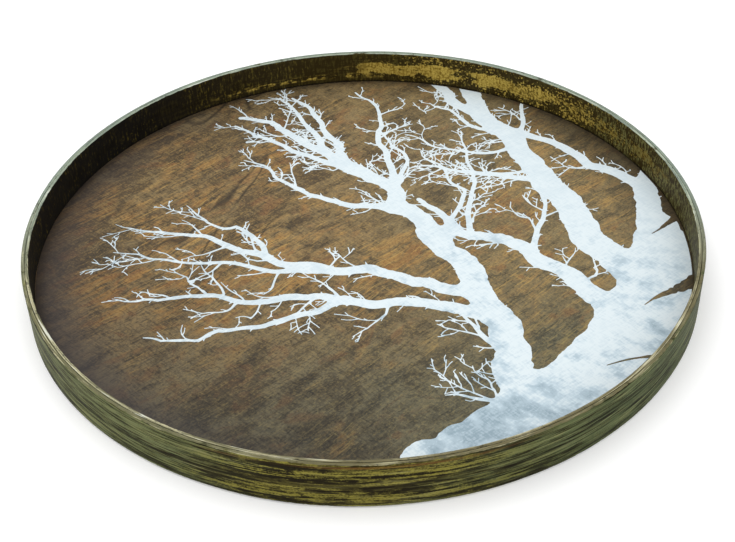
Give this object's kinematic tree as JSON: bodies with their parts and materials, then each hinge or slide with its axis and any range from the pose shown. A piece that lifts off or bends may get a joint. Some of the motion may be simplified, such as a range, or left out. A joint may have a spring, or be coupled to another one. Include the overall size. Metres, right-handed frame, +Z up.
{
  "type": "serving tray",
  "caption": "Round wooden serving tray with a tall bent-wood rim in worn metal leaf, and a stained veneer floor painted with a bare tree.",
  "frame": {"origin": "middle of the tray on the surface that its felt pads stand on", "axes": "+Z up out of the tray; +X to the right and +Y to the back when the painted tree's trunk is at the near right"},
  "size_m": [0.61, 0.61, 0.046],
  "materials": {
    "rim_leaf_outer": "bent wood under dark paint and rubbed gold and green-grey metal leaf, satin, with a pale champagne top edge",
    "rim_leaf_inner": "bent wood under near-black paint and worn gold metal leaf, satin, with a pale champagne top edge",
    "stained_veneer": "dark brown stained veneer with orange-brown highlights, satin lacquer",
    "board": "raw fibreboard, matte",
    "backing": "veneer painted brown-black, matte",
    "brad_steel": "bright drawn steel wire",
    "felt": "pressed wool felt, dark grey",
    "white_paint": "thin brushed cool white acrylic paint, worn blue-grey in places"
  },
  "bodies": {
    "root": {"rim_outer_ply": "rim_leaf_outer", "rim_inner_ply": "rim_leaf_inner", "panel_core": "board", "face_veneer": "stained_veneer", "backing_veneer": "backing", "rim_brad_1": "brad_steel", "rim_brad_2": "brad_steel", "rim_brad_3": "brad_steel", "rim_brad_4": "brad_steel", "rim_brad_5": "brad_steel", "rim_brad_6": "brad_steel", "rim_brad_7": "brad_steel", "rim_brad_8": "brad_steel", "rim_brad_9": "brad_steel", "rim_brad_10": "brad_steel", "rim_brad_11": "brad_steel", "rim_brad_12": "brad_steel", "felt_pad_1": "felt", "felt_pad_2": "felt", "felt_pad_3": "felt", "felt_pad_4": "felt", "felt_pad_5": "felt", "felt_pad_6": "felt"}
  },
  "joints": []
}
